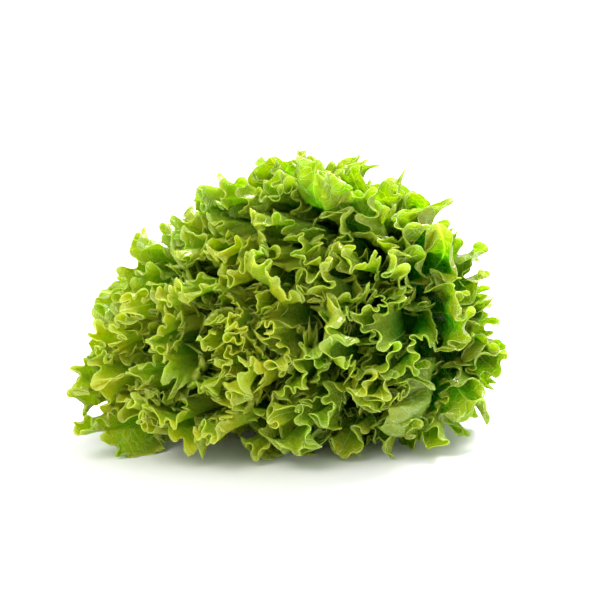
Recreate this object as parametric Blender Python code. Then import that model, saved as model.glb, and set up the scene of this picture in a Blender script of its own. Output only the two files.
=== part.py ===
"""A head of green batavia lettuce, lying on its side on a flat surface.

Units are metres, +Z is up, +X runs along the head's widest side and -Y is its front. The origin is on the
surface, under the middle of the head. Every leaf grows from one point, the butt, and its margin ends near the
outer form, a dome that the surface cuts off flat. Directions are measured round the head's axis, which runs
from the butt to the heart.
"""

import bmesh
import bpy
import numpy as np

# Outer form of the head, as the half axes of a dome that stands on the surface and leans to its right
DOME_MIDDLE = np.array([-0.0152, -0.0034, 0.0140])
DOME_HALF = np.array([0.149, 0.111, 0.175])
DOME_LEAN = 0.20
FLOOR_ROUNDING = 5.0

# Axis of the rosette, from the butt that the leaves grow from to the tip of the heart
BUTT = np.array([0.0548, 0.0692, 0.0620])
HEART = np.array([-0.0602, -0.0948, 0.0820])

# Leaves, from the heart outwards
LEAVES = 32
LEAF_SEED = 3800
GOLDEN_TURN = np.radians(137.508)
FIRST_TURN = np.radians(100.0)
HEART_OPENING = np.radians(3.0)
HEART_SPREAD = np.radians(20.0)
HEART_CROWDING = 3.0
OUTER_OPENING = np.radians(88.0)
TURN_UNEVENNESS = 0.12
LOW_LEAF_LIFT = 0.35
REACH_RANGE = (0.92, 1.04)

# Blades. Each pair is the heart leaves' value and how much more the outermost leaf has
HALF_WIDTH = (0.026, 0.038)
BACK_BEND = (np.radians(18.0), np.radians(46.0))
BLADE_THICKNESS = 0.0012
BLADE_WIDENING = 0.6
SIDE_DROP = 0.20
LEAN = 1.25
MOST_WRAP = 1.5

# Folds of the margin, as shares of a fold's length where they are heights
FOLDS = 3
FOLD_STEPS = 4
FOLD_SWING = 0.36
FOLD_SLIP = 0.10
FOLD_UNEVENNESS = 0.3
FOLD_UNEVEN_TURNS = 9.0
FOLD_START = 0.5
FOLD_GROWTH = 1.3

# Rows of each blade, from inside the core to the margin
ROOT_ROW = 0.46
MIDDLE_ROW = 0.80
OUTER_LEAVES_FROM = 0.75
OUTER_ROOT_ROW = 0.22

# Core that takes the place of the packed leaf bases
CORE_SHARE = 0.66
CORE_SAG = 0.47
CORE_SAG_SPREAD = np.radians(17.0)
CORE_CLOSES_AT = np.radians(100.0)
CORE_CLOSES_OVER = np.radians(11.0)
CORE_BACK = 0.024
CORE_RINGS = 10
CORE_SIDES = 20
FLAT_SPOT = np.array([-0.010, -0.015, 0.0])

# Cut stem
STEM_RADIUS = 0.0185
STEM_LENGTH = 0.030
STEM_START = 0.012
STEM_GAP = 0.0003
STEM_SIDES = 28


def unit(vector):
    return vector / np.linalg.norm(vector, axis=-1, keepdims=True)


AXIS = unit(HEART - BUTT)
SIDEWAYS = unit(np.cross(AXIS, [0.0, 0.0, 1.0]))
UPWARDS = np.cross(SIDEWAYS, AXIS)


def direction(opening, turn):
    """Unit vectors at the angle opening from the head's axis, turned round it by turn from its upper side."""
    around = np.cos(turn)[..., None] * UPWARDS + np.sin(turn)[..., None] * SIDEWAYS
    return np.cos(opening)[..., None] * AXIS + np.sin(opening)[..., None] * around


def reach(towards):
    """Distance from the butt to the outer form along towards. It is the nearer of the dome and the surface that
    the head lies on, rounded where the two meet."""
    upright = np.array([[1.0, 0.0, 0.0], [0.0, 1.0, 0.0], [-DOME_LEAN, 0.0, 1.0]])
    start = (BUTT - DOME_MIDDLE) @ upright / DOME_HALF
    step = towards @ upright / DOME_HALF
    square = (step * step).sum(-1)
    half = (step * start).sum(-1)
    dome = (np.sqrt(half**2 - square * (start @ start - 1.0)) - half) / square
    floor = BUTT[2] / np.maximum(-towards[..., 2], 0.02)
    return (dome**-FLOOR_ROUNDING + floor**-FLOOR_ROUNDING) ** (-1.0 / FLOOR_ROUNDING)


def even_openings(count):
    """Openings that spread count leaf tips evenly over the outer form, a little closer together at the heart."""
    opening = np.linspace(HEART_OPENING, OUTER_OPENING, 200)
    turns = np.linspace(0.0, 2.0 * np.pi, 24, endpoint=False)
    grid, around = np.meshgrid(opening, turns, indexing="ij")
    far = reach(direction(grid, around)).mean(axis=1)
    crowding = 1.0 + HEART_CROWDING * np.exp(-((opening / HEART_SPREAD) ** 2))
    covered = np.cumsum(far**2 * np.sin(opening) * crowding)
    return np.interp((np.arange(count) + 0.5) / count, covered / covered[-1], opening)


def grown(pair, share):
    """A blade's value at that share of the way from the heart to the outermost leaf."""
    return pair[0] + pair[1] * share


def leaf_plan(index, count):
    """What sets one leaf apart: its turn round the axis, opening, size and the phase of its folds. Leaves that
    point down lie a little closer to the axis, clear of the surface."""
    draw = np.random.default_rng(LEAF_SEED + index)
    share = (index + 0.5) / count
    turn = FIRST_TURN + index * GOLDEN_TURN + draw.uniform(-TURN_UNEVENNESS, TURN_UNEVENNESS)
    below = max(0.0, -np.cos(turn))
    return {
        "share": share,
        "turn": turn,
        "opening": even_openings(count)[index] * (1.0 - LOW_LEAF_LIFT * below * share),
        "back_bend": grown(BACK_BEND, share),
        "half_width": grown(HALF_WIDTH, share),
        "reach": draw.uniform(*REACH_RANGE),
        "phase": draw.uniform(0.0, 2.0 * np.pi),
        "uneven": draw.uniform(0.0, 2.0 * np.pi),
    }


def smooth_blade(plan, side, out):
    """The leaf without its folds. side runs from -1 to 1 across it and out from 0 at the butt to 1 at the margin,
    which is rounded off towards the sides. The blade widens as a power of out, leans back from its tip's opening
    towards its base, and its distance from the butt is the share of the reach that LEAN gives."""
    along = out * (1.0 - SIDE_DROP * side**2)
    across = side * plan["half_width"] * out**BLADE_WIDENING
    left = 1.0 - along
    opening = plan["opening"] + plan["back_bend"] * left
    far = reach(direction(opening, np.full_like(opening, plan["turn"])))
    turned = MOST_WRAP * np.tanh(across / (far * np.sin(opening) * MOST_WRAP))
    towards = direction(opening, plan["turn"] + turned)
    share = plan["reach"] * (1.0 - left**LEAN)
    return BUTT + towards * (reach(towards) * share)[..., None]


def folded_blade(plan, side, out):
    """The smooth blade with its margin in folds. Along the margin a point swings out of the blade as a cosine of
    the phase and slips along it as a sine of twice the phase, so each fold overhangs its neck. Both grow from
    nothing half way up the blade."""
    smooth = smooth_blade(plan, side, out)
    along_margin = unit(np.gradient(smooth, axis=1))
    outwards = np.gradient(smooth, axis=0)
    normal = unit(np.cross(along_margin, outwards))
    steps = np.linalg.norm(np.diff(smooth[-1], axis=0), axis=1)
    length = np.concatenate([[0.0], np.cumsum(steps)])
    phase = plan["phase"] + 2.0 * np.pi * np.arange(side.shape[1]) / FOLD_STEPS
    fold = length[-1] / FOLDS
    tall = 1.0 + FOLD_UNEVENNESS * np.sin(FOLD_UNEVEN_TURNS * length / length[-1] + plan["uneven"])
    growth = np.clip((out - FOLD_START) / (1.0 - FOLD_START), 0.0, 1.0) ** FOLD_GROWTH
    swing = (FOLD_SWING * fold * tall * np.cos(phase))[None, :] * growth
    slip = (FOLD_SLIP * fold * np.sin(2.0 * phase))[None, :] * growth
    return smooth + normal * swing[..., None] + along_margin * slip[..., None]


def thick_blade(points):
    """A closed slab round a grid of points: two faces split into the same triangles, and a rim between them."""
    rows, columns = points.shape[:2]
    normal = unit(np.cross(np.gradient(points, axis=1), np.gradient(points, axis=0)))
    front = points + normal * BLADE_THICKNESS / 2.0
    back = points - normal * BLADE_THICKNESS / 2.0
    spots = np.concatenate([front.reshape(-1, 3), back.reshape(-1, 3)])
    grid = np.arange(rows * columns).reshape(rows, columns)
    low, right = grid[:-1, :-1].ravel(), grid[:-1, 1:].ravel()
    high, far = grid[1:, :-1].ravel(), grid[1:, 1:].ravel()
    one_side = np.concatenate([np.stack([low, right, far], 1), np.stack([low, far, high], 1)])
    ring = np.concatenate([grid[0, :-1], grid[:-1, -1], grid[-1, :0:-1], grid[:0:-1, 0]])
    after = np.roll(ring, -1)
    under = rows * columns
    rim = np.concatenate(
        [np.stack([ring, ring + under, after + under], 1), np.stack([ring, after + under, after], 1)]
    )
    return spots, np.concatenate([one_side, one_side[:, ::-1] + under, rim])


def leaf_mesh(index):
    plan = leaf_plan(index, LEAVES)
    columns = np.linspace(-1.0, 1.0, FOLDS * FOLD_STEPS + 1)
    root = OUTER_ROOT_ROW if plan["share"] > OUTER_LEAVES_FROM else ROOT_ROW
    side, out = np.meshgrid(columns, [root, MIDDLE_ROW, 1.0])
    return thick_blade(folded_blade(plan, side, out))


def core_mesh():
    """A ball of rings round the head's axis. It fills CORE_SHARE of the way to the outer form in front of the
    butt, closes behind it, and sags to the surface under the head's weight, where it is cut flat."""
    openings = np.linspace(0.0, np.pi, CORE_RINGS + 1)[1:-1]
    turns = np.arange(CORE_SIDES) * 2.0 * np.pi / CORE_SIDES
    opening, turn = np.meshgrid(openings, turns, indexing="ij")
    towards = direction(opening, turn)
    closing = 1.0 / (1.0 + np.exp((opening - CORE_CLOSES_AT) / CORE_CLOSES_OVER))
    aside = np.arccos(np.clip(towards @ unit(FLAT_SPOT - BUTT), -1.0, 1.0))
    share = CORE_SHARE + CORE_SAG * np.exp(-((aside / CORE_SAG_SPREAD) ** 2))
    far = CORE_BACK + (reach(towards) * share - CORE_BACK) * closing
    rings = BUTT + towards * far[..., None]
    front = BUTT + AXIS * reach(AXIS) * CORE_SHARE
    back = BUTT - AXIS * CORE_BACK
    spots = np.concatenate([rings.reshape(-1, 3), [front, back]])
    grid = np.arange(rings.shape[0] * CORE_SIDES).reshape(-1, CORE_SIDES)
    beside = np.roll(grid, -1, axis=1)
    low, right = grid[:-1].ravel(), beside[:-1].ravel()
    high, far = grid[1:].ravel(), beside[1:].ravel()
    sides = np.concatenate([np.stack([low, high, far], 1), np.stack([low, far, right], 1)])
    tip, tail = len(spots) - 2, len(spots) - 1
    first = np.stack([np.full(CORE_SIDES, tip), grid[0], beside[0]], 1)
    last = np.stack([np.full(CORE_SIDES, tail), beside[-1], grid[-1]], 1)
    return spots, np.concatenate([sides, first, last])


def new_object(name, spots, triangles, collection):
    """An object from points and triangles, with its faces turned outwards."""
    mesh = bpy.data.meshes.new(name)
    mesh.from_pydata(spots.tolist(), [], triangles.tolist())
    work = bmesh.new()
    work.from_mesh(mesh)
    bmesh.ops.recalc_face_normals(work, faces=work.faces)
    work.to_mesh(mesh)
    work.free()
    made = bpy.data.objects.new(name, mesh)
    collection.objects.link(made)
    return made


def apply_boolean(target, operation, other):
    """One Boolean on target, applied. other is an object or a collection. The blades cross each other at all
    angles, where the exact solver leaves edges that four faces share, so this is the manifold one."""
    joined = target.modifiers.new("join", "BOOLEAN")
    joined.operation = operation
    joined.solver = "MANIFOLD"
    if isinstance(other, bpy.types.Collection):
        joined.operand_type = "COLLECTION"
        joined.collection = other
    else:
        joined.object = other
    graph = bpy.context.evaluated_depsgraph_get()
    result = bpy.data.meshes.new_from_object(target.evaluated_get(graph))
    target.modifiers.clear()
    target.data = result


def keep_one_body(target):
    """Leaves the largest connected shell. A sealed hollow goes, which fills it, and so does a loose scrap."""
    work = bmesh.new()
    work.from_mesh(target.data)
    unseen = set(work.faces)
    shells = []
    while unseen:
        shell = [unseen.pop()]
        for face in shell:
            for edge in face.edges:
                for near in edge.link_faces:
                    if near in unseen:
                        unseen.discard(near)
                        shell.append(near)
        shells.append(shell)
    largest = max(shells, key=len)
    for shell in shells:
        if shell is not largest:
            bmesh.ops.delete(work, geom=shell, context="FACES")
    loose = [spot for spot in work.verts if not spot.link_faces]
    bmesh.ops.delete(work, geom=loose, context="VERTS")
    bmesh.ops.triangulate(work, faces=work.faces)
    work.to_mesh(target.data)
    work.free()


def material(name, colour, roughness):
    made = bpy.data.materials.new(name)
    made.use_nodes = True
    shader = made.node_tree.nodes["Principled BSDF"]
    shader.inputs["Base Color"].default_value = (*colour, 1.0)
    shader.inputs["Roughness"].default_value = roughness
    shader.inputs["Metallic"].default_value = 0.0
    return made


def block(name, low, high, collection):
    """A box between two corners."""
    corners = np.array([[x, y, z] for x in (0, 1) for y in (0, 1) for z in (0, 1)], float)
    spots = np.array(low) + corners * (np.array(high) - np.array(low))
    hull = bpy.data.meshes.new(name)
    work = bmesh.new()
    for spot in spots:
        work.verts.new(spot)
    bmesh.ops.convex_hull(work, input=work.verts)
    work.to_mesh(hull)
    work.free()
    made = bpy.data.objects.new(name, hull)
    collection.objects.link(made)
    return made


def cylinder(name, start, along, radius, length, collection):
    """A straight round bar with flat ends."""
    across = unit(np.cross(along, [0.0, 0.0, 1.0]))
    upright = np.cross(across, along)
    turns = np.arange(STEM_SIDES) * 2.0 * np.pi / STEM_SIDES
    ring = np.cos(turns)[:, None] * across + np.sin(turns)[:, None] * upright
    spots = np.concatenate([start + ring * radius, start + ring * radius + along * length])
    work = bmesh.new()
    for spot in spots:
        work.verts.new(spot)
    bmesh.ops.convex_hull(work, input=work.verts)
    mesh = bpy.data.meshes.new(name)
    work.to_mesh(mesh)
    work.free()
    made = bpy.data.objects.new(name, mesh)
    collection.objects.link(made)
    return made


def discard(objects):
    for made in list(objects):
        bpy.data.objects.remove(made)


def build_leaf_head(scene_collection):
    """The core with every leaf joined to it, cut flat where it lies on the surface and hollowed for the stem."""
    repeats = bpy.data.collections.new("leaves")
    scene_collection.children.link(repeats)
    for index in range(LEAVES):
        new_object(f"leaf_{index}", *leaf_mesh(index), repeats)
    head = new_object("leaf_head", *core_mesh(), scene_collection)
    apply_boolean(head, "UNION", repeats)
    discard(repeats.objects)
    bpy.data.collections.remove(repeats)
    wide = 2.0 * DOME_HALF
    below = block("below", -wide, wide * [1.0, 1.0, 0.0], scene_collection)
    apply_boolean(head, "DIFFERENCE", below)
    socket_end = BUTT - AXIS * STEM_START
    socket = cylinder("socket", socket_end, -AXIS, STEM_RADIUS + STEM_GAP, 4.0 * STEM_LENGTH, scene_collection)
    apply_boolean(head, "DIFFERENCE", socket)
    discard([below, socket])
    keep_one_body(head)
    head.data.materials.clear()
    head.data.materials.append(material("leaf_green", (0.33, 0.50, 0.05), 0.45))
    return head


def build_cut_stem(scene_collection):
    start = BUTT - AXIS * (STEM_START + STEM_GAP)
    stem = cylinder("cut_stem", start, -AXIS, STEM_RADIUS, STEM_LENGTH, scene_collection)
    stem.data.materials.append(material("stem_pale", (0.72, 0.76, 0.52), 0.5))
    return stem


def main():
    for old in list(bpy.data.objects):
        bpy.data.objects.remove(old)
    collection = bpy.context.scene.collection
    build_leaf_head(collection)
    build_cut_stem(collection)


main()
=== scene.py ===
"""The looks of a head of green batavia lettuce that lies on its side.

Every leaf is a closed thin blade, worked out on a grid of two parameters: side, from -1 to 1 across the leaf,
and out, from 0 at the butt to 1 at the margin. The blade's plain shape repeats the solids' own formula, and
the margin is then laid in folds, lobes and frills, each a meander of its own size.
"""

import math

import bpy
import numpy as np
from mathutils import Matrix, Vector


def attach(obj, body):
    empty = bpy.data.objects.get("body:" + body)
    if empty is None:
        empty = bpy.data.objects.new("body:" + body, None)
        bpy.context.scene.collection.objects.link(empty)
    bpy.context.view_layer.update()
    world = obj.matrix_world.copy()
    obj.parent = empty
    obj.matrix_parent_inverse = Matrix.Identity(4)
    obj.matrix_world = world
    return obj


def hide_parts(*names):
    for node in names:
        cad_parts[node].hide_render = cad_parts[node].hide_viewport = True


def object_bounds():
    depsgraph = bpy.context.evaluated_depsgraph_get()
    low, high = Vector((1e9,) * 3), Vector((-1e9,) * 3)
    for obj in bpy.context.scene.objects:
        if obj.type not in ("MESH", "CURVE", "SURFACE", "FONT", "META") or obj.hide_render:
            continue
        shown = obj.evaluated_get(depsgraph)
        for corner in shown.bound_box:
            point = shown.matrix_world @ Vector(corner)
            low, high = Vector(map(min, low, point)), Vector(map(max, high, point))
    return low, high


bl_info = {
    "name": "Batavia lettuce",
    "version": (1, 0, 0),
    "blender": (4, 5, 0),
    "location": "View3D > Sidebar > Lettuce",
    "description": "Leaves, cut stem and stage of a head of batavia lettuce",
    "category": "Object",
}

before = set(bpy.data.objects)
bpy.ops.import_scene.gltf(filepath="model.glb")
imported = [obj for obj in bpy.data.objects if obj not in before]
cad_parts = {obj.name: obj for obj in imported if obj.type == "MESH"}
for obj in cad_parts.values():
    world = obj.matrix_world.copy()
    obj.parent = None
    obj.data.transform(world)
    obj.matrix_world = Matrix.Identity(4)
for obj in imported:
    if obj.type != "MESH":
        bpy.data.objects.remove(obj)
CAD_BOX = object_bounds()

# Driving dimensions of the solids, in metres, repeated so that the leaves stand where the solids stand
DOME_MIDDLE = np.array([-0.0152, -0.0034, 0.0140])
DOME_HALF = np.array([0.149, 0.111, 0.175])
DOME_LEAN = 0.20
FLOOR_ROUNDING = 5.0
LEAST_FALL = 0.02
BUTT = np.array([0.0548, 0.0692, 0.0620])
HEART = np.array([-0.0602, -0.0948, 0.0820])
LEAVES = 32
LEAF_SEED = 3800
GOLDEN_TURN = np.radians(137.508)
FIRST_TURN = np.radians(100.0)
TURN_WANDER = 0.12
HEART_OPENING = np.radians(3.0)
OUTER_OPENING = np.radians(88.0)
LOWER_CLOSING = 0.35
HEART_SPREAD = np.radians(20.0)
HEART_CROWDING = 3.0
OPENING_STEPS = 200
TURN_STEPS = 24
MOST_WRAP = 1.5
STEM_START = 0.012
STEM_GAP = 0.0003

# How leaves differ: half the width, the angle in degrees by which the base leans back, the range of lengths
# as shares of the outer form's, the largest twist, the range of bends, and the value of out at the grid's
# start. Here and below, a value that grows from leaf to leaf is a pair: its value at the heart, and what it
# gains up to the outermost leaf. A leaf's share is how far it is on the way from the one to the other
HALF_WIDTH = (0.026, 0.038)
LEAN_BACK = (18.0, 46.0)
LENGTHS = (0.92, 1.04)
MOST_TWIST = 0.25
BENDS = (-0.40, 0.50)
BASE = 0.05

# How the finer blades run inside that form: they rise to their margins more steeply than the solids' blades
BLADE_LEAN = 0.92
BEND_POWER = 1.35
WIDTH_POWER = 0.6
BLADE_REACH = 1.055
REACH_TILT = 0.010
ROW_GROWTH = 1.33
SIDE_DROP = 0.25
MOST_SHIFT = 0.12
BEND_ZONE = 0.050
LARGEST_BEND = 1.0
FRONTAL_SHARE = 0.75
TOP_SHARE = 0.50

# The margin's three waves. A wander is the length of margin over which a value changes and by how much, a
# swing is the largest angle of the wave's heading, and a zone is the strip at the margin in which the wave
# grows, as a power of the way to the margin. LOBE_ZONE and the length in LOBE_SWING_WANDER count in lobes
FOLDS = 3
FOLD_WANDER = (0.03, 0.6)
FOLD_SWING = 1.15
FOLD_SWING_WANDER = (0.04, 0.25)
FOLD_ZONE = (0.055, 0.035)
FOLD_POWER = 1.6
LOBE_SIZE_POWER = 1.2
LOBE_SIZES = (0.80, 1.25)
LOBE_WANDER = (0.02, 2.4)
LOBE_SWING = 1.45
LOBE_SWING_WANDER = (1.6, 0.45)
LOBE_ZONE = 4.0
LOBE_POWER = 1.8
FRILL_SIZE = (0.0030, 0.0020)
FRILL_WANDER = (0.008, 2.5)
FRILL_SWING = 0.15
HEART_FRILL_SWING = 0.65
FRILL_SWING_WANDER = (0.009, 0.40)
FRILL_ZONE = (0.007, 0.005)
FRILL_POWER = 1.6
LEAST_PACE = 0.22
SWING_WINDOW = 1.3
STARTS = (0.0, 6.0)
CURL_RADIUS = (0.034, 0.02)
NOTCH_DEPTH = (0.0010, 0.0010)
NOTCH_RATE = 0.37
NOTCH_POWER = 0.8
NOTCH_MIDDLE = 0.6
BLISTER_WAVES = 5
BLISTER_MIDDLE = 0.64
BLISTER_SEEDS = 100000

# The midrib, how the blades rest on the floor, and how far they may stand out of the solids' box
RIB_SPREAD = 0.05
RIB_TAPER = 0.9
RIB_HEIGHT = 0.0045
RIB_POWER = 1.5
LEAST_OUT = 0.05
FLOOR_GAP = 0.0006
FLOOR_SOFTNESS = 0.0015
RUFFLE_ROOM = 0.008
BOX_SOFTNESS = 0.002
BOX_GRIP = 0.9

# Filling and backing leaves. Their tips follow an even spiral over the outer form, with these two steps
SPIRAL_STEPS = (0.7548776662, 0.5698402909)
SPIRAL_START = 0.31
FILLING_SEED = 2600
FILLING_HALF_WIDTH = (0.020, 0.020)
FILLING_LENGTHS = (0.91, 1.01)
FILLING_TWIST = 0.6
FILLING_BASE = 0.40
FILLING_DEPTH = 0.02
FILLING_HEIGHT = 0.004
BACKING_SEED = 7300
BACKING_SHARE = 0.55
BACKING_HALF_WIDTH = 0.058
BACKING_LENGTHS = (0.80, 0.98)
BACKING_TWIST = 0.3
BACKING_BASE = 0.08
BACKING_RUFFLING = 0.9
BACKING_HEIGHT = 0.02

# Leaves that show a face: the place of the margin's middle, half the leaf's width, its length as a share of
# the outer form's, the angle by which its end bends away from the axis, its twist, and its share of the way
# from the heart to the outside
FACING_SEED = 5100
FACING_BASE = 0.40
FACING_RUFFLING = 0.80
FACING_LEAVES = (
    ((-0.015, -0.084, 0.134), 0.034, 1.02, 1.15, 0.25, 0.45),
    ((0.036, -0.102, 0.084), 0.036, 1.02, 0.80, -0.10, 0.50),
    ((0.060, -0.090, 0.034), 0.038, 1.04, -1.05, 0.00, 0.75),
    ((0.018, -0.053, 0.180), 0.034, 1.02, 1.10, 0.00, 0.75),
    ((0.149, -0.015, 0.054), 0.034, 1.10, -0.30, 0.30, 0.80),
    ((-0.116, -0.074, 0.024), 0.034, 1.06, -0.40, 0.30, 0.40),
    ((-0.134, -0.054, 0.046), 0.030, 0.99, -0.50, 0.10, 0.50),
    ((0.127, -0.015, 0.128), 0.032, 1.03, -0.30, -0.20, 0.75),
    ((0.086, -0.074, 0.008), 0.032, 1.08, -0.40, 0.10, 0.50),
    ((0.056, -0.086, 0.004), 0.030, 1.03, -0.40, 0.10, 0.55),
    ((0.066, -0.078, 0.132), 0.030, 0.98, 0.30, 0.20, 0.60),
    ((-0.018, -0.070, 0.157), 0.028, 1.03, -0.20, -0.20, 0.35),
    ((0.009, -0.080, 0.140), 0.028, 1.03, 0.15, 0.30, 0.35),
    ((0.039, -0.075, 0.133), 0.028, 1.02, 0.10, -0.30, 0.40),
)

# Where two of them show their faces, and how far the filling leaves' tips keep away from there
FACE_MIDDLES = (
    (np.array([-0.004, -0.088, 0.112]), 0.020),
    (np.array([0.090, -0.082, 0.030]), 0.018),
)

# How fine the grids are: columns across the leaf and rows along it
LEAF_COLUMNS, LEAF_ROWS = (175, 95), 12
FILLING_COLUMNS, FILLING_ROWS = (140, 85), 10
BACKING_COLUMNS, BACKING_ROWS = 150, 9
FACING_COLUMNS, FACING_ROWS = 190, 12

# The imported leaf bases: their share of the outer form, the openings at which they start and end, and the last
# stretch of opening, in which they close
CORE_SHARE = 0.50
CORE_OPENINGS = (0.02, 1.75)
CORE_END = 1.9
CORE_CLOSING = 0.7
LEAST_CORE = 0.15
CORE_RINGS, CORE_SIDES = 24, 48
CORE_SPOT = (0.2, 0.5)

# The cut stem: its outline as distances from the neck and shares of its radius, and the waves round it, each
# with its height as a share of the radius, its number and its start
STEM_RADIUS = 0.0185
STEM_OUTLINE = np.array([
    (0.0000, 0.90), (0.0030, 0.96), (0.0080, 1.00), (0.0140, 1.00), (0.0200, 0.97), (0.0250, 0.94),
    (0.0280, 0.925), (0.0293, 0.90), (0.0300, 0.85), (0.0302, 0.72), (0.0298, 0.50), (0.0299, 0.28),
    (0.0295, 0.04),
])
STEM_WAVES = ((0.030, 5.0, 0.6), (0.022, 8.0, 2.0), (0.012, 21.0, 0.0))
STEM_SIDES = 120
SCAR_HEIGHT = 0.03
SCAR_STEP = 0.009
SCAR_TURNS = 2.0

# The layers of the head, and how strongly veins show in each
HEART_SHARE = 0.30
MIDDLE_SHARE = 0.65
VEIN_STRENGTH = {"heart": 0.12, "middle": 0.40, "outer": 0.74}

# Veins: the net's cells in a metre and the width of its lines, the side veins on a leaf, their slope, wander
# and width, where the midrib's colour fades at its sides, and how strong it is
NET_SCALE = 120.0
NET_WIDTH = 0.06
SIDE_VEINS = 9.0
VEIN_SLOPE = 0.36
VEIN_WANDER = 0.9
VEIN_WIDTH = 0.045
RIB_EDGE = (0.5, 1.1)
RIB_PALENESS = 0.75

# Where a blade turns from deep to bright, as values of out, and how far patches shift that. The deep colour
# holds
# painted shade: the blade is darker inside the head, where shade falls. Then the cooler regions, the underside
# and the pale rim, a painted highlight along the margin's edge, each with its colour and its largest share, and
# the share of light that goes through a blade
MARGIN_ZONE = (0.66, 1.0)
PATCH_SHIFT = (1.1, -0.62)
COOLER_RANGE = (0.42, 0.64)
COOLER_TINT = (0.70, 0.93, 1.6)
COOLER_SHARE = 0.55
UNDERSIDE = (0.36, 0.47, 0.05)
UNDERSIDE_SHARE = 0.30
PALE_VEIN_AND_RIM_HIGHLIGHT = (0.82, 0.90, 0.36)
# The pale rim is a painted highlight along the margin's edge; the same pale colour also draws the real veins
RIM_HIGHLIGHT = (0.9955, 0.9985)
RIM_HIGHLIGHT_SHARE = 0.20
THROUGH_SHARE = 0.56

# What the camera sees there: the middle and the width. Then the stage's lamps, light and floor
VIEW_MIDDLE = (0.006, 0.0, 0.090)
VIEW_WIDTH = 0.414
LIT_POINT = (0.0, 0.0, 0.1)
BACK_LIGHT = (0.45, 0.65, 1.05)
BACK_LIGHT_SIZE = 0.6
FRONT_LIGHT = (-0.7, -0.9, 1.2)
FRONT_LIGHT_SIZE = 0.8
WORLD_STRENGTH = 1.22
FLOOR_WHITE = 0.82


def unit(vector):
    return vector / np.maximum(np.linalg.norm(vector, axis=-1, keepdims=True), 1e-12)


AXIS = unit(HEART - BUTT)
SIDEWAYS = unit(np.cross(AXIS, [0.0, 0.0, 1.0]))
UPWARDS = np.cross(SIDEWAYS, AXIS)


def growing(pair, share):
    """The value in the leaf of that share: the heart's value and that share of the gain."""
    return pair[0] + pair[1] * share


def direction(opening, turn):
    """Unit vectors at the angle opening from the head's axis, turned round it by turn from its upper side."""
    around = np.cos(turn)[..., None] * UPWARDS + np.sin(turn)[..., None] * SIDEWAYS
    return np.cos(opening)[..., None] * AXIS + np.sin(opening)[..., None] * around


def reach(towards):
    """Distance from the butt to the outer form along towards: the nearer of the dome and the floor, rounded
    where the two meet."""
    upright = np.array([[1.0, 0.0, 0.0], [0.0, 1.0, 0.0], [-DOME_LEAN, 0.0, 1.0]])
    start = (BUTT - DOME_MIDDLE) @ upright / DOME_HALF
    step = towards @ upright / DOME_HALF
    square = (step * step).sum(-1)
    half = (step * start).sum(-1)
    dome = (np.sqrt(half**2 - square * (start @ start - 1.0)) - half) / square
    floor = BUTT[2] / np.maximum(-towards[..., 2], LEAST_FALL)
    return (dome**-FLOOR_ROUNDING + floor**-FLOOR_ROUNDING) ** (-1.0 / FLOOR_ROUNDING)


def opening_at(share):
    """The opening of the leaf at that share of the way from the heart to the outermost leaf, such that tips
    are spread evenly over the outer form and crowd together at the heart."""
    opening = np.linspace(HEART_OPENING, OUTER_OPENING, OPENING_STEPS)
    turns = np.linspace(0.0, 2.0 * np.pi, TURN_STEPS, endpoint=False)
    grid, around = np.meshgrid(opening, turns, indexing="ij")
    far = reach(direction(grid, around)).mean(axis=1)
    crowding = 1.0 + HEART_CROWDING * np.exp(-((opening / HEART_SPREAD) ** 2))
    covered = np.cumsum(far**2 * np.sin(opening) * crowding)
    return float(np.interp(share, covered / covered[-1], opening))


def plain_plan(draw, share, turn, opening, half_width, base, ruffling):
    """What is known of a leaf before anything is drawn for it. Base is the value of out at which its grid
    starts."""
    return {
        "draw": draw,
        "share": share,
        "turn": turn,
        "opening": opening,
        "back_bend": np.radians(growing(LEAN_BACK, share)),
        "half_width": half_width,
        "base": base,
        "ruffling": ruffling,
    }


def varied(plan, lengths, most_twist):
    """The plan with the leaf's length, the start of its folds and its twist, all drawn at random."""
    draw = plan["draw"]
    plan["reach"] = draw.uniform(*lengths)
    plan["phase"] = draw.uniform(0.0, 2.0 * np.pi)
    plan["twist"] = draw.uniform(-most_twist, most_twist)
    return plan


def leaf_plan(index):
    """What sets apart the leaf of that number, with the values that the solids draw for it."""
    draw = np.random.default_rng(LEAF_SEED + index)
    share = (index + 0.5) / LEAVES
    turn = FIRST_TURN + index * GOLDEN_TURN + draw.uniform(-TURN_WANDER, TURN_WANDER)
    below = max(0.0, -np.cos(turn))
    opening = opening_at(share) * (1.0 - LOWER_CLOSING * below * share)
    plan = plain_plan(draw, share, turn, opening, growing(HALF_WIDTH, share), BASE, 1.0)
    plan = varied(plan, LENGTHS, MOST_TWIST)
    plan["bend"] = free_bend(opening, turn, draw)
    return plan


def free_bend(opening, turn, draw):
    """The angle by which a leaf's end bends away from the head's axis. It leans towards the angle that turns
    the end to the front, least in the leaves on top, and varies from leaf to leaf."""
    outward = np.cos(turn) * UPWARDS + np.sin(turn) * SIDEWAYS
    onward = np.cos(opening) * AXIS + np.sin(opening) * outward
    aside = np.cos(opening) * outward - np.sin(opening) * AXIS
    frontal = np.arctan2(-aside[1], -onward[1])
    share = FRONTAL_SHARE - TOP_SHARE * max(outward[2], 0.0)
    return max(frontal * share, -LARGEST_BEND) + draw.uniform(*BENDS)


def spiral_spot(number, start):
    """The spiral's spot of that number: a share, from 0 to 1, and a turn."""
    share = (number * SPIRAL_STEPS[0] + start) % 1.0
    return share, 2.0 * np.pi * ((number * SPIRAL_STEPS[1]) % 1.0)


def tip_at(opening, turn):
    """The point of the outer form at that opening and turn."""
    towards = direction(np.array(opening), np.array(turn))
    return BUTT + towards * reach(towards)


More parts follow.
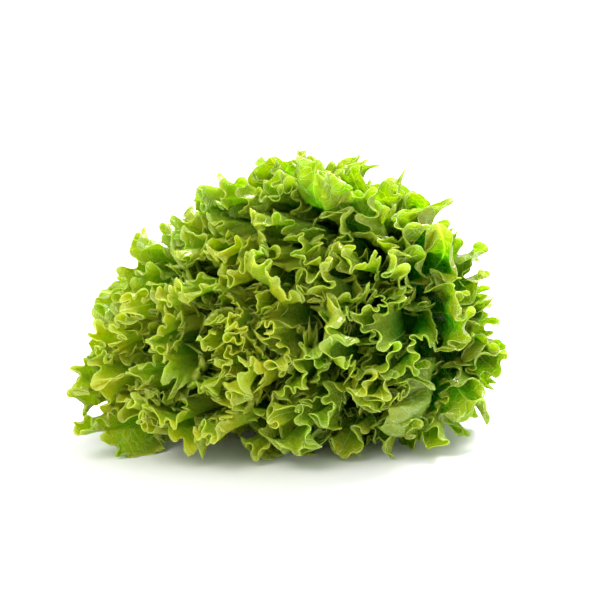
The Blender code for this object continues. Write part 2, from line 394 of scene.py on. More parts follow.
def filling_plans(count):
    """Leaves that fill the space between those of the solids. Those at the back, under the head or in front
    of a facing leaf are passed over."""
    plans = []
    number = 0
    while len(plans) < count:
        number += 1
        draw = np.random.default_rng(FILLING_SEED + number)
        share, turn = spiral_spot(number, SPIRAL_START)
        opening = opening_at(share)
        tip = tip_at(opening, turn)
        hides = any(np.linalg.norm(tip - place) < clear for place, clear in FACE_MIDDLES)
        if tip[1] > FILLING_DEPTH or tip[2] < FILLING_HEIGHT or hides:
            continue
        half_width = growing(FILLING_HALF_WIDTH, share)
        plan = plain_plan(draw, share, turn, opening, half_width, FILLING_BASE, 1.0)
        plan = varied(plan, FILLING_LENGTHS, FILLING_TWIST)
        plan["bend"] = free_bend(opening, turn, draw)
        plans.append(plan)
    return plans


def backing_plans(count):
    """Broad leaves that close the head at the back, round the stem, between those of the solids."""
    plans = []
    number = 0
    while len(plans) < count:
        number += 1
        draw = np.random.default_rng(BACKING_SEED + number)
        spot, turn = spiral_spot(number, 0.0)
        share = BACKING_SHARE + (1.0 - BACKING_SHARE) * spot
        opening = opening_at(share)
        tip = tip_at(opening, turn)
        if tip[1] < 0.0 or tip[2] < BACKING_HEIGHT:
            continue
        plan = plain_plan(draw, share, turn, opening, BACKING_HALF_WIDTH, BACKING_BASE, BACKING_RUFFLING)
        plan = varied(plan, BACKING_LENGTHS, BACKING_TWIST)
        plan["bend"] = draw.uniform(*BENDS)
        plans.append(plan)
    return plans


def facing_plans():
    """The leaves that turn a broad face to the front, each aimed at its own place on the outer form."""
    plans = []
    for number, (place, half_width, length, bend, twist, share) in enumerate(FACING_LEAVES):
        draw = np.random.default_rng(FACING_SEED + number)
        towards = unit(np.array(place) - BUTT)
        turn = np.arctan2(towards @ SIDEWAYS, towards @ UPWARDS)
        opening = np.arccos(towards @ AXIS)
        plan = plain_plan(draw, share, turn, opening, half_width, FACING_BASE, FACING_RUFFLING)
        plan["reach"] = length
        plan["phase"] = draw.uniform(0.0, 2.0 * np.pi)
        plan["twist"] = twist
        plan["bend"] = bend
        plans.append(plan)
    return plans


def margin_shift(angle):
    """How far the bend moves the margin: onward along the blade, and aside, away from the head's axis."""
    radius = BEND_ZONE / angle
    return radius * (np.sin(angle) - angle), radius * (1.0 - np.cos(angle))


def smooth_blade(plan, side, out):
    """The leaf without its folds. It widens as a power of out, and leans back from its tip's opening towards
    its base as a power of what is left to the margin. Its distance from the butt is a share of the reach that
    grows with out, and is a little larger to the right. Its twist lifts one side. The bend of its end will
    shorten it and move its margin, so both are made up for here."""
    along = out * (1.0 - SIDE_DROP * side**2)
    across = side * plan["half_width"] * out**WIDTH_POWER
    left = np.maximum(1.0 - along, 0.0)
    opening = plan["opening"] + plan["back_bend"] * left**BEND_POWER
    far = reach(direction(opening, np.full_like(opening, plan["turn"])))
    onward, aside = margin_shift(plan["bend"])
    opening = opening + np.tan(plan["twist"]) * across / far - np.clip(aside / far, -MOST_SHIFT, MOST_SHIFT)
    turned = MOST_WRAP * np.tanh(across / (far * np.sin(opening) * MOST_WRAP))
    towards = direction(opening, plan["turn"] + turned)
    share = (BLADE_REACH + REACH_TILT * towards[..., 0]) * plan["reach"] * (1.0 - left**BLADE_LEAN)
    return BUTT + towards * ((reach(towards) - onward) * share)[..., None]


def blade_frame(points):
    """Unit vectors across the blade, towards its margin, and away from the head's axis."""
    tangent = unit(np.gradient(points, axis=1))
    upward = np.gradient(points, axis=0)
    upward = unit(upward - tangent * (upward * tangent).sum(-1, keepdims=True))
    return tangent, upward, np.cross(tangent, upward)


def bent_away(points, inset, angle):
    """The blade with its last stretch rolled round a cylinder, through that angle away from the head's axis.
    A point t into the stretch of length L goes r(1 - cos(t/r)) sideways and r sin(t/r) onward, with
    r = L/angle."""
    radius = BEND_ZONE / angle
    into = np.maximum(BEND_ZONE - inset, 0.0)
    _, upward, normal = blade_frame(points)
    onward = radius * np.sin(into / radius) - into
    aside = radius * (1.0 - np.cos(into / radius))
    start = np.argmax(into[:, 0] > 0.0)
    return points + upward[start] * onward[..., None] + normal[start] * aside[..., None]


def wandering(draw, length, step, amount):
    """A smooth random value along length: noise of that amount at every step, joined by a smooth curve."""
    count = max(4, int(length[-1] / step) + 3)
    knots = draw.uniform(-1.0, 1.0, count) * amount
    spot = length / length[-1] * (count - 3) + 1.0
    low = np.floor(spot).astype(int)
    part = spot - low
    part = part * part * (3.0 - 2.0 * part)
    return knots[low] * (1.0 - part) + knots[np.minimum(low + 1, count - 1)] * part


def moving_mean(rows, width):
    """The mean of each row over a window of width columns, mirrored at its ends."""
    width = max(3, int(width) | 1)
    half = width // 2
    padded = np.concatenate([rows[:, half:0:-1], rows, rows[:, -2 : -half - 2 : -1]], axis=1)
    sums = np.cumsum(np.pad(padded, ((0, 0), (1, 0))), axis=1)
    return (sums[:, width:] - sums[:, :-width]) / width


def rising(inset, zone, power):
    """Nothing at the zone's inner edge and one at the margin, as a power of the way between them."""
    return np.clip(1.0 - inset / zone, 0.0, 1.0) ** power


def margin_waves(plan, length, side_row, inset):
    """The folds, the lobes and the frills, each as its phase, its swing and how far it has grown."""
    draw, share, ruffling = plan["draw"], plan["share"], plan["ruffling"]
    sizes = bpy.context.scene.lettuce_sizes
    lobe = sizes.heart_lobe + (sizes.outer_lobe - sizes.heart_lobe) * share**LOBE_SIZE_POWER
    lobe = lobe * draw.uniform(*LOBE_SIZES)
    frill = growing(FRILL_SIZE, share)
    fold_phase = plan["phase"] + np.pi + 2.0 * np.pi * FOLDS * (side_row + 1.0) / 2.0
    fold_phase = fold_phase + wandering(draw, length, *FOLD_WANDER)
    lobe_phase = 2.0 * np.pi * length / lobe + wandering(draw, length, *LOBE_WANDER)
    lobe_phase = lobe_phase + draw.uniform(*STARTS)
    frill_phase = 2.0 * np.pi * length / frill + wandering(draw, length, *FRILL_WANDER)
    fold_swing = FOLD_SWING + wandering(draw, length, *FOLD_SWING_WANDER)
    lobe_swing = LOBE_SWING + wandering(draw, length, lobe * LOBE_SWING_WANDER[0], LOBE_SWING_WANDER[1])
    frill_swing = FRILL_SWING + HEART_FRILL_SWING * (1.0 - share) ** 2
    frill_swing = frill_swing + wandering(draw, length, *FRILL_SWING_WANDER)
    fold_growth = rising(inset, growing(FOLD_ZONE, share), FOLD_POWER) * ruffling
    lobe_growth = rising(inset, LOBE_ZONE * lobe * ruffling, LOBE_POWER)
    frill_growth = rising(inset, growing(FRILL_ZONE, share), FRILL_POWER)
    return (
        (fold_phase, fold_swing, fold_growth),
        (lobe_phase, lobe_swing, lobe_growth),
        (frill_phase, frill_swing, frill_growth),
    )


def meander(heading, row_length):
    """How far the path with that heading runs ahead of each row, and how far it swings to its side. It keeps
    the row's pace, so its steps are stretched by one over the mean cosine, and a moving mean is taken off."""
    window = heading.shape[1] / FOLDS
    stretch = 1.0 / np.maximum(moving_mean(np.cos(heading), window), LEAST_PACE)
    step = np.gradient(row_length, axis=1) * stretch
    forward = np.cumsum(np.cos(heading) * step, axis=1) - row_length
    swing = np.cumsum(np.sin(heading) * step, axis=1)
    return forward - moving_mean(forward, window), swing - moving_mean(swing, window * SWING_WINDOW)


def frilled_blade(plan, columns, rows):
    """The blade with its margin laid in folds, lobes and frills. Along each row the heading swings to both
    sides of the margin's own course by the sum of three sines, and the path with that heading is the row's
    meander. Each sine grows from nothing towards the margin, the finer ones later. Rows get closer towards
    the margin. Returns the points and, for each, its side and out."""
    side_row = np.linspace(-1.0, 1.0, columns)
    shrinking = ROW_GROWTH ** np.arange(rows - 1, -1, -1)
    out_row = 1.0 - (1.0 - plan["base"]) * (shrinking - 1.0) / (shrinking[0] - 1.0)
    side, out = np.meshgrid(side_row, out_row)
    smooth = smooth_blade(plan, side, out)
    rises = np.linalg.norm(np.diff(smooth[:, columns // 2], axis=0), axis=1)
    inset = np.concatenate([np.cumsum(rises[::-1])[::-1], [0.0]])[:, None]
    smooth = bent_away(smooth, inset, plan["bend"])
    gaps = np.linalg.norm(np.diff(smooth, axis=1), axis=2)
    row_length = np.concatenate([np.zeros((rows, 1)), np.cumsum(gaps, axis=1)], axis=1)
    tangent, upward, normal = blade_frame(smooth)

    waves = margin_waves(plan, row_length[-1], side_row, inset)
    heading = sum(swing * np.sin(phase) * grown for phase, swing, grown in waves)
    forward, aside = meander(heading, row_length)
    fold_growth = waves[0][2]
    frill_phase, _, frill_growth = waves[2]
    curl = -(aside**2) / growing(CURL_RADIUS, plan["share"]) * fold_growth
    notches = np.abs(np.sin(frill_phase * NOTCH_RATE + 1.0)) ** NOTCH_POWER - NOTCH_MIDDLE
    outline = growing(NOTCH_DEPTH, plan["share"]) * notches
    points = smooth + tangent * forward[..., None] + normal * aside[..., None]
    points = points + upward * (curl + outline * frill_growth)[..., None]
    return points, side, out


def crinkled(points, seed, amount, size):
    """The points pushed along the surface's normal by blisters: the mean of plane waves of about that size,
    each folded at zero and in its own direction, less its usual value."""
    draw = np.random.default_rng(seed)
    normal = unit(np.cross(np.gradient(points, axis=1), np.gradient(points, axis=0)))
    total = np.zeros(points.shape[:2])
    for _ in range(BLISTER_WAVES):
        course = unit(draw.normal(size=3))
        total += np.abs(np.sin(points @ course * np.pi / size + draw.uniform(*STARTS)))
    return points + normal * ((total / BLISTER_WAVES - BLISTER_MIDDLE) * amount)[..., None]


def soft_step(over, softness):
    """Zero well below zero and over itself well above it, with a smooth turn between."""
    return softness * np.logaddexp(0.0, over / softness)


def rested(points):
    """The points with what would lie below the floor bent flat onto it, and what would stand further out of
    the solids' box than a ruffle does bent back."""
    bent = points.copy()
    bent[..., 2] = FLOOR_GAP + soft_step(points[..., 2] - FLOOR_GAP, FLOOR_SOFTNESS)
    low, high = np.array(CAD_BOX[0]), np.array(CAD_BOX[1])
    bent -= soft_step(bent - (high + RUFFLE_ROOM), BOX_SOFTNESS) * BOX_GRIP
    bent[..., :2] += soft_step((low - RUFFLE_ROOM - bent)[..., :2], BOX_SOFTNESS) * BOX_GRIP
    return bent


def blade_object(name, points, side, out, thickness):
    """A closed thin blade round a grid of points, with the leaf's own UV map: side across, from 0 to 1 on the
    inner face and from 1 to 2 on the underside, and out along. A rounded midrib stands out of the underside
    and gets narrower and lower towards the margin."""
    rows, columns = points.shape[:2]
    normal = unit(np.cross(np.gradient(points, axis=1), np.gradient(points, axis=0)))
    rib_width = RIB_SPREAD * (1.0 / np.maximum(out, LEAST_OUT) - RIB_TAPER)
    rib = RIB_HEIGHT * (1.0 - out) ** RIB_POWER * np.exp(-((side / rib_width) ** 2))
    outer = points + normal * (thickness / 2.0 + rib)[..., None]
    inner = points - normal * thickness / 2.0
    spots = np.concatenate([outer.reshape(-1, 3), inner.reshape(-1, 3)])
    grid = np.arange(rows * columns).reshape(rows, columns)
    behind = rows * columns
    low, right = grid[:-1, :-1].ravel(), grid[:-1, 1:].ravel()
    high, far = grid[1:, :-1].ravel(), grid[1:, 1:].ravel()
    outer_faces = np.stack([low, right, far, high], 1)
    ring = np.concatenate([grid[0, :-1], grid[:-1, -1], grid[-1, :0:-1], grid[:0:-1, 0]])
    after = np.roll(ring, -1)
    rim = np.stack([ring, ring + behind, after + behind, after], 1)
    faces = np.concatenate([outer_faces, outer_faces[:, ::-1] + behind, rim])
    mesh = bpy.data.meshes.new(name)
    mesh.vertices.add(len(spots))
    mesh.vertices.foreach_set("co", spots.ravel())
    mesh.loops.add(faces.size)
    mesh.loops.foreach_set("vertex_index", faces.ravel().astype(np.int32))
    mesh.polygons.add(len(faces))
    mesh.polygons.foreach_set("loop_start", np.arange(len(faces), dtype=np.int32) * 4)
    mesh.update(calc_edges=True)
    mesh.polygons.foreach_set("use_smooth", np.ones(len(faces), dtype=bool))
    layer = mesh.uv_layers.new(name="leaf")
    flat = np.stack([side.ravel() * 0.5 + 0.5, out.ravel()], 1)
    spread = np.concatenate([flat, flat])[faces.ravel()]
    spread[: outer_faces.size, 0] += 1.0
    layer.data.foreach_set("uv", spread.ravel().astype(np.float32))
    made = bpy.data.objects.new(name, mesh)
    bpy.context.scene.collection.objects.link(made)
    return made


def mesh_object(name, spots, faces, material, node_name):
    """A closed piece from its points and faces, shaded smooth and set in the frame."""
    mesh = bpy.data.meshes.new(name)
    mesh.from_pydata(spots.tolist(), [], faces)
    mesh.validate()
    mesh.polygons.foreach_set("use_smooth", np.ones(len(mesh.polygons), dtype=bool))
    made = bpy.data.objects.new(name, mesh)
    bpy.context.scene.collection.objects.link(made)
    made.data.materials.append(material)
    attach(made, "root")
    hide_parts(node_name)
    return made


def tube_faces(rings, sides):
    """The faces of a closed tube: its walls, ring after ring, and a face of all the points at either end."""
    grid = np.arange(rings * sides).reshape(rings, sides)
    right = np.roll(grid, -1, axis=1)
    walls = np.stack([grid[:-1].ravel(), grid[1:].ravel(), right[1:].ravel(), right[:-1].ravel()], 1)
    return walls.tolist() + [grid[0].tolist(), grid[-1][::-1].tolist()]


def core_object(material):
    """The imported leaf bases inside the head: a closed form that keeps a steady share of the outer form. Its
    own UV map puts it in the inner face of a leaf, beside the midrib."""
    around = np.linspace(0.0, 2.0 * np.pi, CORE_SIDES, endpoint=False)
    opening, turn = np.meshgrid(np.linspace(*CORE_OPENINGS, CORE_RINGS), around, indexing="ij")
    towards = direction(opening, turn)
    closing = np.clip((CORE_END - opening) / CORE_CLOSING, LEAST_CORE, 1.0)
    far = reach(towards) * CORE_SHARE * closing
    spots = (BUTT + towards * far[..., None]).reshape(-1, 3)
    made = mesh_object("leaf_bases", spots, tube_faces(CORE_RINGS, CORE_SIDES), material, "leaf_head")
    layer = made.data.uv_layers.new(name="leaf")
    layer.data.foreach_set("uv", np.tile(CORE_SPOT, len(layer.data)))
    return made


def stem_object(material):
    """The butt, turned about the head's axis: a neck, a ribbed side where leaves were taken off, a rounded
    edge and a cut face with a low ring in it. The radius swells by a sum of sines round the stem, and by one
    that also runs along it."""
    along, width = STEM_OUTLINE.T
    around = np.linspace(0.0, 2.0 * np.pi, STEM_SIDES, endpoint=False)
    ribs = sum(height * np.sin(number * around + start) for height, number, start in STEM_WAVES)
    scars = SCAR_HEIGHT * np.sin(along[:, None] * 2.0 * np.pi / SCAR_STEP + SCAR_TURNS * around)
    radius = STEM_RADIUS * width[:, None] * (1.0 + ribs + scars)
    outward = np.cos(around)[:, None] * UPWARDS + np.sin(around)[:, None] * SIDEWAYS
    start = BUTT - AXIS * (STEM_START + STEM_GAP)
    spots = (start - AXIS * along[:, None, None] + outward * radius[..., None]).reshape(-1, 3)
    faces = tube_faces(len(along), STEM_SIDES)
    return mesh_object("cut_stem_fine", spots, faces, material, "cut_stem")


def link(tree, out_socket, in_socket):
    tree.links.new(out_socket, in_socket)


def plug(tree, value, socket):
    """Give a socket its value: another socket's, a number or a colour."""
    if isinstance(value, bpy.types.NodeSocket):
        link(tree, value, socket)
    elif isinstance(value, (int, float)):
        socket.default_value = value
    else:
        socket.default_value = (*value, 1.0)


def node(tree, kind, **values):
    made = tree.nodes.new(kind)
    for key, value in values.items():
        setattr(made, key, value)
    return made


def figured(tree, operation, *values):
    """The output of a Math node on sockets and numbers."""
    made = node(tree, "ShaderNodeMath", operation=operation)
    for place, value in enumerate(values):
        plug(tree, value, made.inputs[place])
    return made.outputs[0]


def ranged(tree, value, start, end, low, high, interpolation="LINEAR"):
    """Low up to start and high from end on, with an even or a smooth change between."""
    made = node(tree, "ShaderNodeMapRange", clamp=True, interpolation_type=interpolation)
    made.inputs["From Min"].default_value = start
    made.inputs["From Max"].default_value = end
    made.inputs["To Min"].default_value = low
    made.inputs["To Max"].default_value = high
    link(tree, value, made.inputs["Value"])
    return made.outputs[0]


def fading(tree, value, start, end):
    """One up to start, falling evenly to nothing at end."""
    return ranged(tree, value, start, end, 1.0, 0.0)


def mixed(tree, share, first, second, blend="MIX"):
    """The first colour with that share of the second."""
    made = node(tree, "ShaderNodeMix", data_type="RGBA", blend_type=blend)
    plug(tree, share, made.inputs["Factor"])
    plug(tree, first, made.inputs["A"])
    plug(tree, second, made.inputs["B"])
    return made.outputs["Result"]


def noise(tree, place, scale, detail):
    """The value of a noise pattern at that place."""
    made = node(tree, "ShaderNodeTexNoise")
    made.inputs["Scale"].default_value = scale
    made.inputs["Detail"].default_value = detail
    link(tree, place, made.inputs["Vector"])
    return made.outputs["Fac"]


def bumped(tree, height, strength, distance):
    """The surface's normal on a relief of that height."""
    made = node(tree, "ShaderNodeBump")
    made.inputs["Strength"].default_value = strength
    made.inputs["Distance"].default_value = distance
    link(tree, height, made.inputs["Height"])
    return made.outputs["Normal"]


def vein_pattern(tree, place, across, along, patches, strength):
    """How much of the midrib and how much of a finer vein there is. The finer ones are a net of cells, and
    side veins that leave the midrib at even steps, run forward and wander with the patches."""
    cells = node(tree, "ShaderNodeTexVoronoi", feature="DISTANCE_TO_EDGE")
    cells.inputs["Scale"].default_value = NET_SCALE
    link(tree, place, cells.inputs["Vector"])
    net = fading(tree, cells.outputs["Distance"], 0.0, NET_WIDTH)
    from_middle = figured(tree, "SUBTRACT", figured(tree, "FRACT", across), 0.5)
    from_middle = figured(tree, "MULTIPLY", figured(tree, "ABSOLUTE", from_middle), 2.0)
    rib_width = figured(tree, "DIVIDE", RIB_SPREAD, along)
    rib_width = figured(tree, "SUBTRACT", rib_width, RIB_TAPER * RIB_SPREAD)
    rib = fading(tree, figured(tree, "DIVIDE", from_middle, rib_width), *RIB_EDGE)
    steps = figured(tree, "MULTIPLY", along, SIDE_VEINS)
    steps = figured(tree, "MULTIPLY_ADD", from_middle, -SIDE_VEINS * VEIN_SLOPE, steps)
    steps = figured(tree, "MULTIPLY_ADD", patches, VEIN_WANDER, steps)
    side_veins = fading(tree, figured(tree, "PINGPONG", steps, 0.5), 0.0, VEIN_WIDTH)
    return rib, figured(tree, "MULTIPLY", figured(tree, "MAXIMUM", net, side_veins), strength)


def blade_colour(tree, place, across, along, patches, deep, bright):
    """The blade between its veins: a deep colour inside, darkened with painted shade where the blade lies
    within the head, and bright at the margin, in uneven patches, with cooler regions and a duller underside."""
    # Painted shade: the blade darkens from the margin inwards, as the inside of the head lies in shadow
    towards_margin = ranged(tree, along, *MARGIN_ZONE, 0.0, 1.0, interpolation="SMOOTHSTEP")
    uneven = figured(tree, "MULTIPLY_ADD", patches, *PATCH_SHIFT)
    blade = mixed(tree, figured(tree, "ADD", uneven, towards_margin), deep, bright)
    regions = noise(tree, place, scale=22.0, detail=1.0)
    cooler = ranged(tree, regions, *COOLER_RANGE, 0.0, COOLER_SHARE)
    toned = mixed(tree, cooler, blade, COOLER_TINT, blend="MULTIPLY")
    below = figured(tree, "GREATER_THAN", across, 1.0)
    return mixed(tree, figured(tree, "MULTIPLY", below, UNDERSIDE_SHARE), toned, UNDERSIDE)


def blade_shader(tree, colour, normal, glow):
    """A moist, glossy skin, and the light that shines through the blade in a tint of its own."""
    skin_part = node(tree, "ShaderNodeBsdfPrincipled")
    link(tree, colour, skin_part.inputs["Base Color"])
    skin_part.inputs["Roughness"].default_value = 0.30
    skin_part.inputs["Specular IOR Level"].default_value = 0.5
    skin_part.inputs["Coat Weight"].default_value = 0.60
    skin_part.inputs["Coat Roughness"].default_value = 0.09
    link(tree, normal, skin_part.inputs["Normal"])
    through = node(tree, "ShaderNodeBsdfTranslucent")
    link(tree, mixed(tree, 1.0, colour, glow, blend="MULTIPLY"), through.inputs["Color"])
    link(tree, normal, through.inputs["Normal"])
    both = node(tree, "ShaderNodeMixShader")
    both.inputs["Fac"].default_value = THROUGH_SHARE
    link(tree, skin_part.outputs[0], both.inputs[1])
    link(tree, through.outputs[0], both.inputs[2])
    end = node(tree, "ShaderNodeOutputMaterial")
    link(tree, both.outputs[0], end.inputs["Surface"])


def leaf_material(name, deep, bright, glow, vein_strength):
    """A leaf surface: a colour that runs from deep inside, darkened with painted shade, to bright at the
    margin, pale veins, a pale rim that is a painted highlight along the edge, and light that shines through it."""
    made = bpy.data.materials.new(name)
    made.use_nodes = True
    tree = made.node_tree
    tree.nodes.clear()
    place = node(tree, "ShaderNodeTexCoord").outputs["Object"]
    split = node(tree, "ShaderNodeSeparateXYZ")
    link(tree, node(tree, "ShaderNodeUVMap", uv_map="leaf").outputs["UV"], split.inputs[0])
    across, along = split.outputs["X"], split.outputs["Y"]
    patches = noise(tree, place, scale=60.0, detail=4.0)
    rib, fine_veins = vein_pattern(tree, place, across, along, patches, vein_strength)
    veins = figured(tree, "MAXIMUM", figured(tree, "MULTIPLY", rib, RIB_PALENESS), fine_veins)
    blade = blade_colour(tree, place, across, along, patches, deep, bright)
    # Painted highlight: a pale line along the margin's edge, mixed in with the real pale veins
    rim = ranged(tree, along, *RIM_HIGHLIGHT, 0.0, 1.0)
    vein_and_rim_highlight = figured(tree, "MULTIPLY_ADD", rim, RIM_HIGHLIGHT_SHARE, veins)
    colour = mixed(tree, vein_and_rim_highlight, blade, PALE_VEIN_AND_RIM_HIGHLIGHT)
    relief = figured(tree, "SUBTRACT", noise(tree, place, scale=230.0, detail=3.0), fine_veins)
    normal = bumped(tree, relief, strength=0.7, distance=0.0020)
    blade_shader(tree, colour, normal, glow)
    return made


def stem_material():
    """The butt: pale green with browned patches where the juice has dried, spread by a noise pattern all over.
    """
    made = bpy.data.materials.new("stem_flesh")
    made.use_nodes = True
    tree = made.node_tree
    surface = tree.nodes["Principled BSDF"]
    place = node(tree, "ShaderNodeTexCoord").outputs["Object"]
    patches = noise(tree, place, scale=160.0, detail=5.0)
    flesh = node(tree, "ShaderNodeValToRGB")
    flesh.color_ramp.elements[0].position = 0.30
    flesh.color_ramp.elements[0].color = (0.40, 0.26, 0.10, 1.0)
    flesh.color_ramp.elements[1].position = 0.52
    flesh.color_ramp.elements[1].color = (0.66, 0.70, 0.38, 1.0)
    link(tree, patches, flesh.inputs["Fac"])
    link(tree, flesh.outputs["Color"], surface.inputs["Base Color"])
    link(tree, bumped(tree, patches, strength=0.5, distance=0.0006), surface.inputs["Normal"])
    surface.inputs["Roughness"].default_value = 0.45
    surface.inputs["Subsurface Weight"].default_value = 0.25
    surface.inputs["Subsurface Radius"].default_value = (0.006, 0.006, 0.002)
    surface.inputs["Subsurface Scale"].default_value = 1.0
    return made


def make_leaf(name, plan, columns, rows, material):
    """One leaf of the rosette, finished and placed."""
    sizes = bpy.context.scene.lettuce_sizes
    points, side, out = frilled_blade(plan, columns, rows)
    blister_seed = int(plan["draw"].integers(BLISTER_SEEDS))
    points = rested(crinkled(points, blister_seed, sizes.blister_height, sizes.blister_size))
    leaf = blade_object(name, points, side, out, sizes.blade_thickness)
    leaf.data.materials.append(material)
    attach(leaf, "root")
    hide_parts("leaf_head")
    return leaf


def skin(layer):
    """The leaf material of a layer of the head: heart, middle or outer. It is made once and then shared."""
    name = f"{layer}_leaf_skin"
    if name in bpy.data.materials:
        return bpy.data.materials[name]
    colours = bpy.context.scene.lettuce_colours
    deep = getattr(colours, f"{layer}_deep")
    bright = getattr(colours, f"{layer}_bright")
    return leaf_material(name, deep, bright, colours.shine_through, VEIN_STRENGTH[layer])


def layer_at(share):
    """The layer that a leaf at that share of the way from the heart to the outside belongs to."""
    if share < HEART_SHARE:
        return "heart"
    return "middle" if share < MIDDLE_SHARE else "outer"


def make_layer(layer):
    """The leaves of one layer that the solids have too."""
    plans = [leaf_plan(index) for index in range(LEAVES)]
    chosen = [plan for plan in plans if layer_at(plan["share"]) == layer]
    for number, plan in enumerate(chosen, start=1):
        columns = int(growing(LEAF_COLUMNS, plan["share"]))
        make_leaf(f"{layer}_leaf_{number:02d}", plan, columns, LEAF_ROWS, skin(layer))


def plain_material(name, colour, roughness):
    """One colour and one roughness all over."""
    made = bpy.data.materials.new(name)
    made.use_nodes = True
    surface = made.node_tree.nodes["Principled BSDF"]
    surface.inputs["Base Color"].default_value = (*colour, 1.0)
    surface.inputs["Roughness"].default_value = roughness
    return made


def add_floor(size):
    """A square floor at height 0."""
    half = size / 2.0
    mesh = bpy.data.meshes.new("floor")
    corners = [(-half, -half, 0.0), (half, -half, 0.0), (half, half, 0.0), (-half, half, 0.0)]
    mesh.from_pydata(corners, [], [(0, 1, 2, 3)])
    floor = bpy.data.objects.new("floor", mesh)
    bpy.context.scene.collection.objects.link(floor)
    floor.data.materials.append(plain_material("stage_white", (FLOOR_WHITE,) * 3, 0.6))


def add_world():
    """Even white light from all round."""
    world = bpy.data.worlds.new("studio")
    bpy.context.scene.world = world
    world.use_nodes = True
    background = world.node_tree.nodes["Background"]
    background.inputs["Color"].default_value = (1.0, 1.0, 1.0, 1.0)
    background.inputs["Strength"].default_value = WORLD_STRENGTH


def add_lamp(name, place, size, power):
    """A square lamp that points at the head."""
    data = bpy.data.lights.new(name, "AREA")
    data.size = size
    data.energy = power
    made = bpy.data.objects.new(name, data)
    bpy.context.scene.collection.objects.link(made)
    made.location = place
    made.rotation_euler = (Vector(place) - Vector(LIT_POINT)).to_track_quat("Z", "Y").to_euler()


def add_camera(distance, height):
    """A camera at that distance, looking at the view's middle from that angle above the floor."""
    data = bpy.data.cameras.new("camera")
    camera = bpy.data.objects.new("camera", data)
    bpy.context.scene.collection.objects.link(camera)
    bpy.context.scene.camera = camera
    back = Vector((0.0, -math.cos(height), math.sin(height)))
    camera.location = Vector(VIEW_MIDDLE) + back * distance
    camera.rotation_euler = back.to_track_quat("Z", "Y").to_euler()
    data.lens = data.sensor_width * distance / VIEW_WIDTH


def length_value(name, description, default, low, high):
    return bpy.props.FloatProperty(
        name=name, description=description, default=default, min=low, max=high, precision=4, unit="LENGTH"
    )


def count_value(name, description, default, most):
    return bpy.props.IntProperty(name=name, description=description, default=default, min=0, max=most)


def power_value(name, description, default):
    return bpy.props.FloatProperty(
        name=name, description=description, default=default, min=0.0, max=500.0, unit="POWER"
    )


def colour_value(name, description, default):
    return bpy.props.FloatVectorProperty(
        name=name, description=description, default=default, min=0.0, max=2.0, size=3, subtype="COLOR"
    )


class LettuceSizes(bpy.types.PropertyGroup):
    """Sizes of the leaves."""

    blade_thickness: length_value("Blade thickness", "How thick a blade is", 0.0005, 0.0002, 0.002)
    heart_lobe: length_value("Heart lobe", "Length of margin in a lobe at the heart", 0.0055, 0.002, 0.02)
    outer_lobe: length_value("Outer lobe", "Length of margin in a lobe outside", 0.0128, 0.004, 0.04)
    blister_height: length_value("Blister height", "How far a blade swells", 0.0026, 0.0, 0.006)
    blister_size: length_value("Blister size", "From one blister to the next", 0.010, 0.004, 0.03)
    filling_leaves: count_value("Filling leaves", "Short leaves between the large ones", 64, 90)
    backing_leaves: count_value("Backing leaves", "Broad leaves round the stem", 12, 20)


class LettuceColours(bpy.types.PropertyGroup):
    """Colours of the leaves: the deep colours hold painted shade of the head's inside, the margin colours the
    leaves' own brighter margins.
    """

    # Each deep colour is darker with painted shade, where the blade lies inside the head
    heart_deep: colour_value("Heart, deep", "Inner part of a heart leaf", (0.20, 0.55, 0.018))
    heart_bright: colour_value("Heart, margin", "Margin of a heart leaf", (0.66, 0.60, 0.024))
    middle_deep: colour_value("Middle, deep", "Inner part of a middle leaf", (0.145, 0.52, 0.018))
    middle_bright: colour_value("Middle, margin", "Margin of a middle leaf", (0.585, 0.56, 0.022))
    outer_deep: colour_value("Outer, deep", "Inner part of an outer leaf", (0.110, 0.48, 0.018))
    outer_bright: colour_value("Outer, margin", "Margin of an outer leaf", (0.52, 0.52, 0.020))
    shine_through: colour_value("Light through", "Tint of light through a blade", (1.16, 1.39, 0.26))


class LettuceStage(bpy.types.PropertyGroup):
    """The floor, the light and the camera."""

    floor_size: length_value("Floor size", "Side of the square floor", 3.0, 1.0, 10.0)
    back_power: power_value("Back light", "Power of the light behind the head", 43.0)
    front_power: power_value("Front light", "Power of the light before the head", 14.0)
    camera_distance: length_value("Camera distance", "From the camera to the head", 1.3, 0.5, 5.0)
    camera_height: bpy.props.FloatProperty(
        name="Camera height", description="Angle of the view from above the floor",
        default=math.radians(13.0), min=0.0, max=1.5, unit="ROTATION",
    )


class LETTUCE_OT_heart_leaves(bpy.types.Operator):
    """Make the small, finely frilled leaves at the heart"""

    bl_idname = "lettuce.heart_leaves"
    bl_label = "Heart leaves"

    def execute(self, context):
        make_layer("heart")
        return {"FINISHED"}


class LETTUCE_OT_middle_leaves(bpy.types.Operator):
    """Make the leaves between the heart and the outside"""

    bl_idname = "lettuce.middle_leaves"
    bl_label = "Middle leaves"

    def execute(self, context):
        make_layer("middle")
        return {"FINISHED"}


class LETTUCE_OT_outer_leaves(bpy.types.Operator):
    """Make the large outer leaves"""

    bl_idname = "lettuce.outer_leaves"
    bl_label = "Outer leaves"

    def execute(self, context):
        make_layer("outer")
        return {"FINISHED"}


class LETTUCE_OT_filling_leaves(bpy.types.Operator):
    """Make the short leaves that fill the spaces between the large ones"""

    bl_idname = "lettuce.filling_leaves"
    bl_label = "Filling leaves"

    def execute(self, context):
        count = context.scene.lettuce_sizes.filling_leaves
        for number, plan in enumerate(filling_plans(count), start=1):
            columns = int(growing(FILLING_COLUMNS, plan["share"]))
            material = skin(layer_at(plan["share"]))
            make_leaf(f"filling_leaf_{number:02d}", plan, columns, FILLING_ROWS, material)
        return {"FINISHED"}


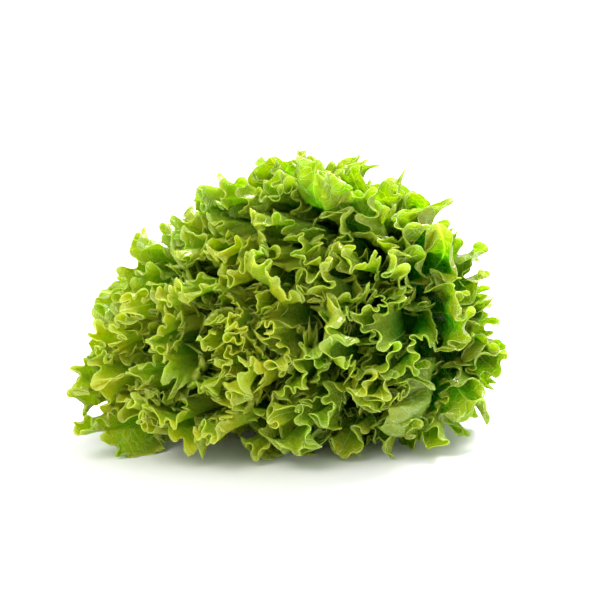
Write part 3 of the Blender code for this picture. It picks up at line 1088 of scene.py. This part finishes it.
class LETTUCE_OT_backing_leaves(bpy.types.Operator):
    """Make the broad leaves that close the head round its stem"""

    bl_idname = "lettuce.backing_leaves"
    bl_label = "Backing leaves"

    def execute(self, context):
        count = context.scene.lettuce_sizes.backing_leaves
        for number, plan in enumerate(backing_plans(count), start=1):
            make_leaf(f"backing_leaf_{number:02d}", plan, BACKING_COLUMNS, BACKING_ROWS, skin("outer"))
        return {"FINISHED"}


class LETTUCE_OT_facing_leaves(bpy.types.Operator):
    """Make the leaves that turn a broad face to the front"""

    bl_idname = "lettuce.facing_leaves"
    bl_label = "Facing leaves"

    def execute(self, context):
        for number, plan in enumerate(facing_plans(), start=1):
            material = skin(layer_at(plan["share"]))
            make_leaf(f"facing_leaf_{number:02d}", plan, FACING_COLUMNS, FACING_ROWS, material)
        return {"FINISHED"}


class LETTUCE_OT_leaf_bases(bpy.types.Operator):
    """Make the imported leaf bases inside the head"""

    bl_idname = "lettuce.leaf_bases"
    bl_label = "Leaf bases"

    def execute(self, context):
        colours = context.scene.lettuce_colours
        # The bases take the outer deep colour all over, darkened with painted shade of the head's inside
        deep = colours.outer_deep
        core_object(leaf_material("leaf_base_skin", deep, deep, colours.shine_through, 0.0))
        return {"FINISHED"}


class LETTUCE_OT_cut_stem(bpy.types.Operator):
    """Make the pale butt with its cut face"""

    bl_idname = "lettuce.cut_stem"
    bl_label = "Cut stem"

    def execute(self, context):
        stem_object(stem_material())
        return {"FINISHED"}


class LETTUCE_OT_stage(bpy.types.Operator):
    """Lay the pale floor, and set up the light and the camera"""

    bl_idname = "lettuce.stage"
    bl_label = "Stage"

    def execute(self, context):
        stage = context.scene.lettuce_stage
        add_floor(stage.floor_size)
        add_world()
        add_lamp("back_light", BACK_LIGHT, BACK_LIGHT_SIZE, stage.back_power)
        add_lamp("front_light", FRONT_LIGHT, FRONT_LIGHT_SIZE, stage.front_power)
        add_camera(stage.camera_distance, stage.camera_height)
        context.scene.view_settings.view_transform = "Standard"
        return {"FINISHED"}


class LETTUCE_PT_panel(bpy.types.Panel):
    """The lettuce's settings and its steps, in order"""

    bl_idname = "LETTUCE_PT_panel"
    bl_label = "Batavia lettuce"
    bl_space_type = "VIEW_3D"
    bl_region_type = "UI"
    bl_category = "Lettuce"

    def draw(self, context):
        for group_name, group in GROUPS.items():
            column = self.layout.box().column()
            for name in group.__annotations__:
                column.prop(getattr(context.scene, group_name), name)
        for step in STEPS:
            self.layout.operator(step.bl_idname)


STEPS = (
    LETTUCE_OT_heart_leaves,
    LETTUCE_OT_middle_leaves,
    LETTUCE_OT_outer_leaves,
    LETTUCE_OT_filling_leaves,
    LETTUCE_OT_backing_leaves,
    LETTUCE_OT_facing_leaves,
    LETTUCE_OT_leaf_bases,
    LETTUCE_OT_cut_stem,
    LETTUCE_OT_stage,
)
GROUPS = {"lettuce_sizes": LettuceSizes, "lettuce_colours": LettuceColours, "lettuce_stage": LettuceStage}


def register():
    for name, group in GROUPS.items():
        bpy.utils.register_class(group)
        setattr(bpy.types.Scene, name, bpy.props.PointerProperty(type=group))
    for step in STEPS:
        bpy.utils.register_class(step)
    bpy.utils.register_class(LETTUCE_PT_panel)


def unregister():
    bpy.utils.unregister_class(LETTUCE_PT_panel)
    for step in reversed(STEPS):
        bpy.utils.unregister_class(step)
    for name, group in GROUPS.items():
        delattr(bpy.types.Scene, name)
        bpy.utils.unregister_class(group)


def main():
    register()
    bpy.ops.lettuce.heart_leaves()
    bpy.ops.lettuce.middle_leaves()
    bpy.ops.lettuce.outer_leaves()
    bpy.ops.lettuce.filling_leaves()
    bpy.ops.lettuce.backing_leaves()
    bpy.ops.lettuce.facing_leaves()
    bpy.ops.lettuce.leaf_bases()
    bpy.ops.lettuce.cut_stem()
    bpy.ops.lettuce.stage()


if __name__ == "__main__":
    main()
